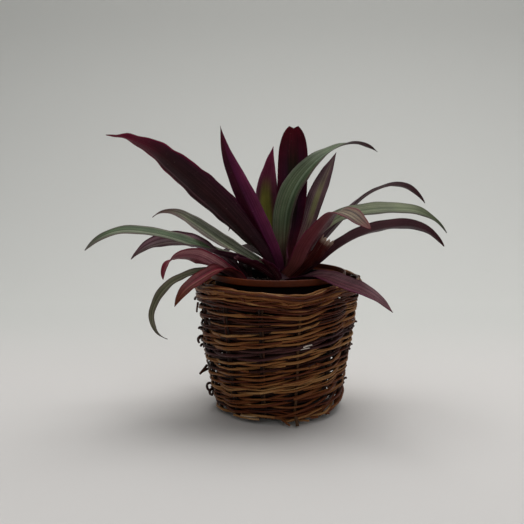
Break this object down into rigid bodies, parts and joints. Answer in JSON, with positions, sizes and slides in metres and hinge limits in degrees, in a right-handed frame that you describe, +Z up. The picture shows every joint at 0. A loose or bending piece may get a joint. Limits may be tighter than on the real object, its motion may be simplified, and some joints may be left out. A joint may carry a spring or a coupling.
{
  "type": "oyster plant in basket",
  "caption": "Rosette of long pointed purple and green leaves growing in a brown pot that stands in a round woven willow basket.",
  "frame": {"origin": "middle of the basket's flat underside, on the surface it stands on", "axes": "+Z up, -Y to the plant's front, +X to its right as seen from the front"},
  "size_m": [0.4, 0.31, 0.315],
  "materials": {
    "willow_weaver": "unpeeled brown willow rods, satin bark with knots and darker patches",
    "willow_stake": "brown willow, darker and duller than the weavers",
    "willow_rim": "golden brown willow, slightly polished by handling",
    "willow_base": "woven willow, dull",
    "pot_plastic": "moulded terracotta brown plastic, satin",
    "compost": "loose damp peat and bark crumbs, matte",
    "stem": "fleshy, smooth",
    "leaf_dark": "dark purple-brown with crimson margin, satin",
    "leaf_purple": "purple with pale stripes, satin",
    "leaf_red": "red-brown and crimson, satin",
    "leaf_green": "grey-green with a pale stripe along the rib, purple beneath, satin"
  },
  "bodies": {
    "root": {"basket_base": "willow_base", "leaf_arch_right": "leaf_dark", "leaf_back": "leaf_green", "leaf_back_left": "leaf_green", "leaf_back_middle": "leaf_green", "leaf_back_right": "leaf_green", "leaf_broad_left": "leaf_dark", "leaf_dark_right": "leaf_dark", "leaf_front_folded": "leaf_purple", "leaf_green_right": "leaf_green", "leaf_long_left": "leaf_green", "leaf_middle_left": "leaf_green", "leaf_side_back": "leaf_green", "leaf_side_front": "leaf_red", "leaf_side_low": "leaf_red", "leaf_side_trailing": "leaf_green", "leaf_side_upper": "leaf_purple", "leaf_stub_front": "leaf_red", "leaf_stub_left": "leaf_red", "leaf_tall_arch": "leaf_green", "leaf_tall_back": "leaf_dark", "leaf_torn_right": "leaf_red", "leaf_trailing_right": "leaf_purple", "leaf_upright_left": "leaf_purple", "leaf_upright_middle": "leaf_purple", "leaf_upright_right": "leaf_purple", "pot": "pot_plastic", "rim_hoop_1": "willow_rim", "rim_hoop_2": "willow_rim", "rim_pair_1": "willow_rim", "rim_pair_2": "willow_rim", "soil": "compost", "stake_1": "willow_stake", "stake_10": "willow_stake", "stake_11": "willow_stake", "stake_12": "willow_stake", "stake_13": "willow_stake", "stake_2": "willow_stake", "stake_3": "willow_stake", "stake_4": "willow_stake", "stake_5": "willow_stake", "stake_6": "willow_stake", "stake_7": "willow_stake", "stake_8": "willow_stake", "stake_9": "willow_stake", "stem_main": "stem", "stem_side": "stem", "weaver_1": "willow_weaver", "weaver_10": "willow_weaver", "weaver_11": "willow_weaver", "weaver_12": "willow_weaver", "weaver_2": "willow_weaver", "weaver_3": "willow_weaver", "weaver_4": "willow_weaver", "weaver_5": "willow_weaver", "weaver_6": "willow_weaver", "weaver_7": "willow_weaver", "weaver_8": "willow_weaver", "weaver_9": "willow_weaver"}
  },
  "joints": []
}
